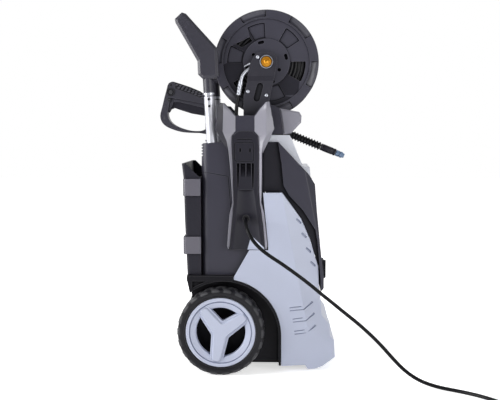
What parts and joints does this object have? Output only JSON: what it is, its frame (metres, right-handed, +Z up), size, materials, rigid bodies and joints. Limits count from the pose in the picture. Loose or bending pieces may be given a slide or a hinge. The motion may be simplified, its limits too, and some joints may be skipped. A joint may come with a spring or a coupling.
{
  "type": "pressure washer",
  "caption": "Upright electric pressure washer on two wheels with a top hose reel, telescopic handle, accessory bin, stored spray gun and power cord.",
  "frame": {"origin": "on the floor, under the middle of the machine's bounding box, measured without the power cord", "axes": "+X to the machine's front (foot, knob and hose outlet), +Y to its left-hand side (water inlet and crank), +Z up"},
  "size_m": [0.9656, 0.7013, 0.923],
  "materials": {
    "charcoal_plastic": "fine-grained moulded plastic",
    "light_grey_plastic": "satin moulded plastic",
    "mid_grey_plastic": "satin moulded plastic",
    "black_plastic": "moulded plastic",
    "rim_plastic": "satin moulded plastic",
    "tyre_rubber": "moulded tread",
    "soft_rubber": "matt",
    "aluminium_tube": "anodised",
    "bracket_steel": "powder coated",
    "plated_steel": "zinc plated",
    "turned_steel": "turned",
    "brass_fitting": "turned",
    "motor_paint": "painted",
    "cast_metal": "as cast",
    "fitting_plastic": "satin"
  },
  "bodies": {
    "machine": {"accessory_bin": "charcoal_plastic", "axle": "turned_steel", "capacitor": "black_plastic", "chassis_tray": "charcoal_plastic", "console_face": "light_grey_plastic", "cord_coil": "soft_rubber", "cord_relief": "soft_rubber", "feed_elbow": "plated_steel", "feed_hose": "soft_rubber", "foot_pads": "soft_rubber", "front_cover": "light_grey_plastic", "front_fascia": "charcoal_plastic", "gearbox_case": "cast_metal", "handle_tubes": "aluminium_tube", "hood_panel": "light_grey_plastic", "hose_barrel": "black_plastic", "hose_bend_relief": "soft_rubber", "hose_lead": "soft_rubber", "hose_nozzle": "fitting_plastic", "lance_socket": "charcoal_plastic", "machine_screws": "plated_steel", "motor_can": "motor_paint", "plug_body": "soft_rubber", "plug_pins": "plated_steel", "power_cord": "soft_rubber", "pump_block": "cast_metal", "rear_housing": "charcoal_plastic", "reel_bracket_left": "bracket_steel", "reel_bracket_right": "bracket_steel", "spine_insert_left": "black_plastic", "spine_insert_right": "black_plastic", "spine_left": "mid_grey_plastic", "spine_right": "mid_grey_plastic", "switch_box": "black_plastic", "swivel_body": "brass_fitting", "swivel_ring": "plated_steel", "top_deck": "charcoal_plastic", "unloader_valve": "brass_fitting", "water_inlet": "fitting_plastic"},
    "handle": {"handle_grip": "black_plastic", "handle_inner_tubes": "aluminium_tube", "grip_rings": "aluminium_tube"},
    "reel": {"reel_flange_right": "charcoal_plastic", "reel_flange_left": "charcoal_plastic", "reel_drum": "charcoal_plastic", "hose_pack": "soft_rubber", "reel_crank": "bracket_steel"},
    "crank_knob": {"crank_knob": "black_plastic"},
    "wheel_right": {"tyre_right": "tyre_rubber", "rim_right": "rim_plastic"},
    "wheel_left": {"tyre_left": "tyre_rubber", "rim_left": "rim_plastic"},
    "power_knob": {"power_knob": "black_plastic"},
    "gun": {"gun_body": "black_plastic", "gun_pad": "soft_rubber", "gun_lance": "turned_steel"},
    "trigger": {"trigger": "black_plastic"},
    "rotor": {"motor_rotor": "motor_paint"}
  },
  "joints": [
    {"name": "handle_slide", "type": "slide", "parent": "machine", "child": "handle", "axis": [-0.0593, 0, 0.9982], "range_m": [0, 0.2]},
    {"name": "wheel_right_spin", "type": "hinge", "parent": "machine", "child": "wheel_right", "pos_m": [-0.072, -0.155, 0.11], "axis": [0, 1, 0], "continuous": true},
    {"name": "wheel_left_spin", "type": "hinge", "parent": "machine", "child": "wheel_left", "pos_m": [-0.072, 0.155, 0.11], "axis": [0, 1, 0], "continuous": true},
    {"name": "reel_spin", "type": "hinge", "parent": "machine", "child": "reel", "pos_m": [0.0405, 0, 0.789], "axis": [0, 1, 0], "continuous": true},
    {"name": "crank_knob_spin", "type": "hinge", "parent": "reel", "child": "crank_knob", "pos_m": [0.0405, 0.14, 0.705], "axis": [0, 1, 0], "continuous": true},
    {"name": "power_knob_turn", "type": "hinge", "parent": "machine", "child": "power_knob", "pos_m": [0.19, 0, 0.244], "axis": [1, 0, 0], "range_deg": [0, 90]},
    {"name": "gun_lift", "type": "slide", "parent": "machine", "child": "gun", "axis": [0, 0, 1], "range_m": [0, 0.12]},
    {"name": "trigger_pull", "type": "hinge", "parent": "gun", "child": "trigger", "pos_m": [-0.112, 0, 0.668], "axis": [0, 1, 0], "range_deg": [0, 8], "stiffness_Nm_per_rad": 0.5, "springref_deg": -11.46},
    {"name": "rotor_spin", "type": "hinge", "parent": "machine", "child": "rotor", "pos_m": [0.074, 0, 0.3], "axis": [0, 0, 1], "continuous": true}
  ]
}
